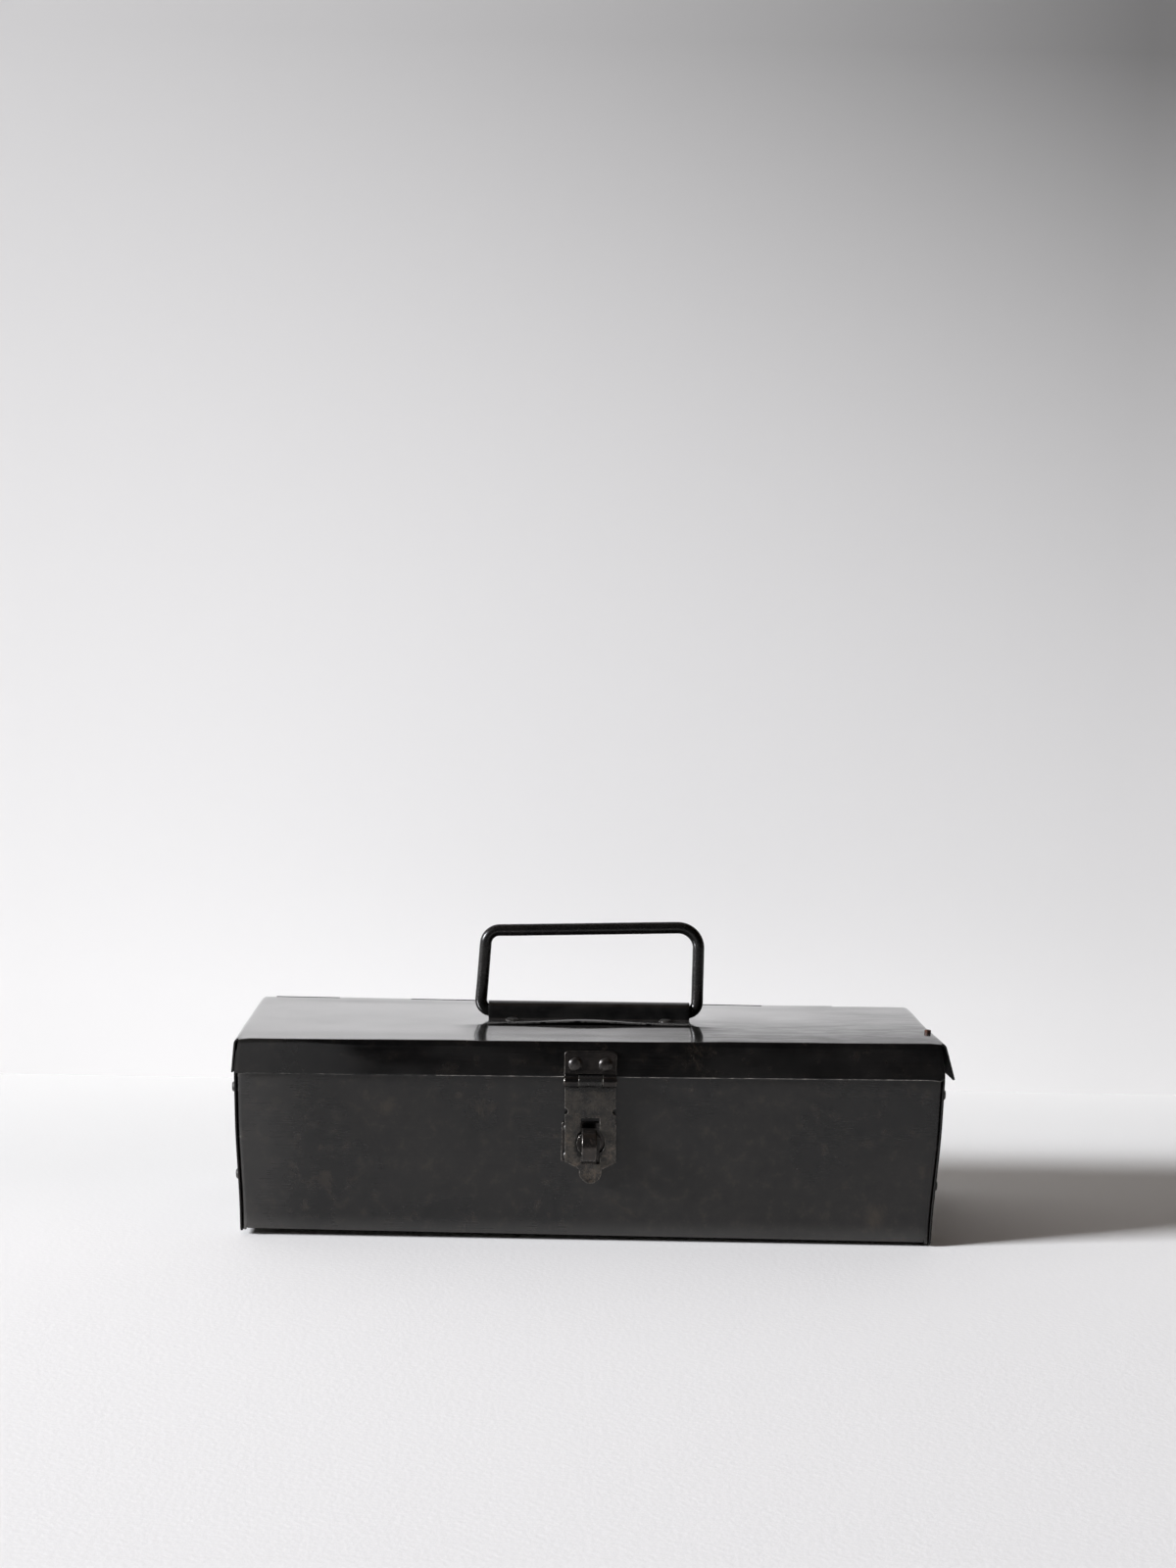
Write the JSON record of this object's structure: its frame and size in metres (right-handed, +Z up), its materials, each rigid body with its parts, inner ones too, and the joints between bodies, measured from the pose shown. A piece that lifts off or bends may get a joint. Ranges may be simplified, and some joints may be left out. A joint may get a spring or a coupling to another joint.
{
  "type": "metal toolbox",
  "caption": "Small folded sheet steel toolbox with a hinged lid, a folding rod handle held by a riveted saddle, and a front hasp with a swivel staple.",
  "frame": {"origin": "on the floor, under the middle of the body's bottom, midway between its front and back walls", "axes": "+Z up, +X towards the right end seen from the front, -Y out of the front where the hasp is"},
  "size_m": [0.3706, 0.1465, 0.1561],
  "materials": {
    "black_sheet": "satin black finish on sheet steel, worn and lightly stained",
    "black_rivets": "satin black finish on steel rivets",
    "black_rod": "satin black finish on round steel rod, rubbed at the grip",
    "worn_hasp": "worn dark steel with thin rust",
    "bare_wire": "dull bare steel wire",
    "copper_stud": "dull copper colour"
  },
  "bodies": {
    "box": {"body_wrap": "black_sheet", "left_end_plate": "black_sheet", "right_end_plate": "black_sheet", "left_end_rivets": "black_rivets", "right_end_rivets": "black_rivets", "hinge_wire": "bare_wire", "staple_plate": "worn_hasp", "staple_plate_rivets": "worn_hasp", "staple_washer": "worn_hasp"},
    "lid": {"lid_sheet": "black_sheet", "lid_stud": "copper_stud", "handle_bracket": "black_sheet", "bracket_front_rivets": "black_rivets", "bracket_rear_rivets": "black_rivets", "hasp_leaf": "worn_hasp", "hasp_leaf_rivets": "black_rivets", "hasp_pin": "worn_hasp"},
    "handle": {"carrying_handle": "black_rod"},
    "strap": {"hasp_strap": "worn_hasp"},
    "staple": {"turn_staple": "worn_hasp"}
  },
  "joints": [
    {"name": "lid_hinge", "type": "hinge", "parent": "box", "child": "lid", "pos_m": [0, 0.06375, 0.10045], "axis": [-1, 0, 0], "range_deg": [0, 180]},
    {"name": "handle_fold", "type": "hinge", "parent": "lid", "child": "handle", "pos_m": [0, 0, 0.10725], "axis": [1, 0, 0], "range_deg": [-90, 90]},
    {"name": "hasp_swing", "type": "hinge", "parent": "lid", "child": "strap", "pos_m": [0, -0.06842, 0.08251], "axis": [-1, 0, 0], "range_deg": [0, 180]},
    {"name": "staple_turn", "type": "hinge", "parent": "box", "child": "staple", "pos_m": [0, -0.0637, 0.05061], "axis": [0, -1, 0], "continuous": true}
  ]
}
